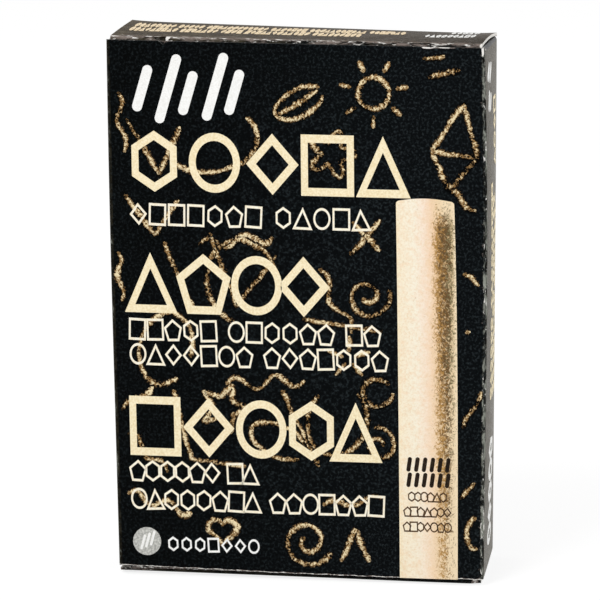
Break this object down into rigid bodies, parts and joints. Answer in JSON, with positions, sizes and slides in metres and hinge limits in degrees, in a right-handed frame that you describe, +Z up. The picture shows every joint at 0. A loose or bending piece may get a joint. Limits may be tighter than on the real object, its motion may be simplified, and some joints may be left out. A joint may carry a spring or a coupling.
{
  "type": "chalk box",
  "caption": "Black printed card carton with a tucked, hinged lid at each end, standing upright and packed with nested rows of ivory chalk sticks.",
  "frame": {"origin": "middle of the standing face, under the centre of the closed carton", "axes": "+Z up along the sticks, -Y out of the printed front panel, +X to the right as the front is seen"},
  "size_m": [0.0602, 0.0192, 0.0874],
  "materials": {
    "printed_card": "satin",
    "chalk": "matte"
  },
  "bodies": {
    "box": {"carton": "printed_card", "chalk_stick_01": "chalk", "chalk_stick_02": "chalk", "chalk_stick_03": "chalk", "chalk_stick_04": "chalk", "chalk_stick_05": "chalk", "chalk_stick_06": "chalk", "chalk_stick_07": "chalk", "chalk_stick_08": "chalk", "chalk_stick_09": "chalk", "chalk_stick_10": "chalk", "chalk_stick_11": "chalk", "chalk_stick_12": "chalk"},
    "top_lid": {"top_lid": "printed_card"},
    "top_tuck_flap": {"top_tuck_flap": "printed_card"},
    "bottom_lid": {"bottom_lid": "printed_card"},
    "bottom_tuck_flap": {"bottom_tuck_flap": "printed_card"}
  },
  "joints": [
    {"name": "top_lid_hinge", "type": "hinge", "parent": "box", "child": "top_lid", "pos_m": [0, 0.00959, 0.08735], "axis": [-1, 0, 0], "range_deg": [0, 110]},
    {"name": "top_tuck_fold", "type": "hinge", "parent": "top_lid", "child": "top_tuck_flap", "pos_m": [0, -0.00814, 0.08675], "axis": [1, 0, 0], "range_deg": [0, 66]},
    {"name": "bottom_lid_hinge", "type": "hinge", "parent": "box", "child": "bottom_lid", "pos_m": [0, 0.00959, 0], "axis": [1, 0, 0], "range_deg": [0, 110]},
    {"name": "bottom_tuck_fold", "type": "hinge", "parent": "bottom_lid", "child": "bottom_tuck_flap", "pos_m": [0, -0.00814, 0.0006], "axis": [-1, 0, 0], "range_deg": [0, 66]}
  ],
  "couplings": [
    {"joint": "top_tuck_fold", "follows": "top_lid_hinge", "ratio": 0.6},
    {"joint": "bottom_tuck_fold", "follows": "bottom_lid_hinge", "ratio": 0.6}
  ]
}
